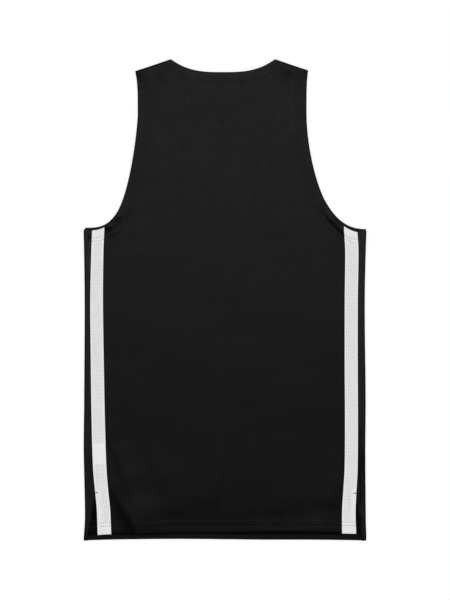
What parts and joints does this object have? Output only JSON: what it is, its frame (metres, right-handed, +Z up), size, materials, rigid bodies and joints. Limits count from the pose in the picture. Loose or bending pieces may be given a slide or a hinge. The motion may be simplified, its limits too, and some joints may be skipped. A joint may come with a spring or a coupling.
{
  "type": "sleeveless sports shirt",
  "caption": "Black sleeveless knit sports shirt with white mesh side stripes and short side slits at the hem, laid flat with its back up.",
  "frame": {"origin": "middle of the shirt's outline on the surface that it lies on", "axes": "+Z up from that surface, +Y towards the neck, +X towards the wearer's right side"},
  "size_m": [0.4516, 0.769, 0.0052],
  "materials": {
    "black_knit": "fine knit with a faint sheen",
    "white_mesh": "matte mesh knit"
  },
  "bodies": {
    "root": {"front_panel": "black_knit", "back_panel": "black_knit", "stripe_left": "white_mesh", "stripe_right": "white_mesh"}
  },
  "joints": []
}
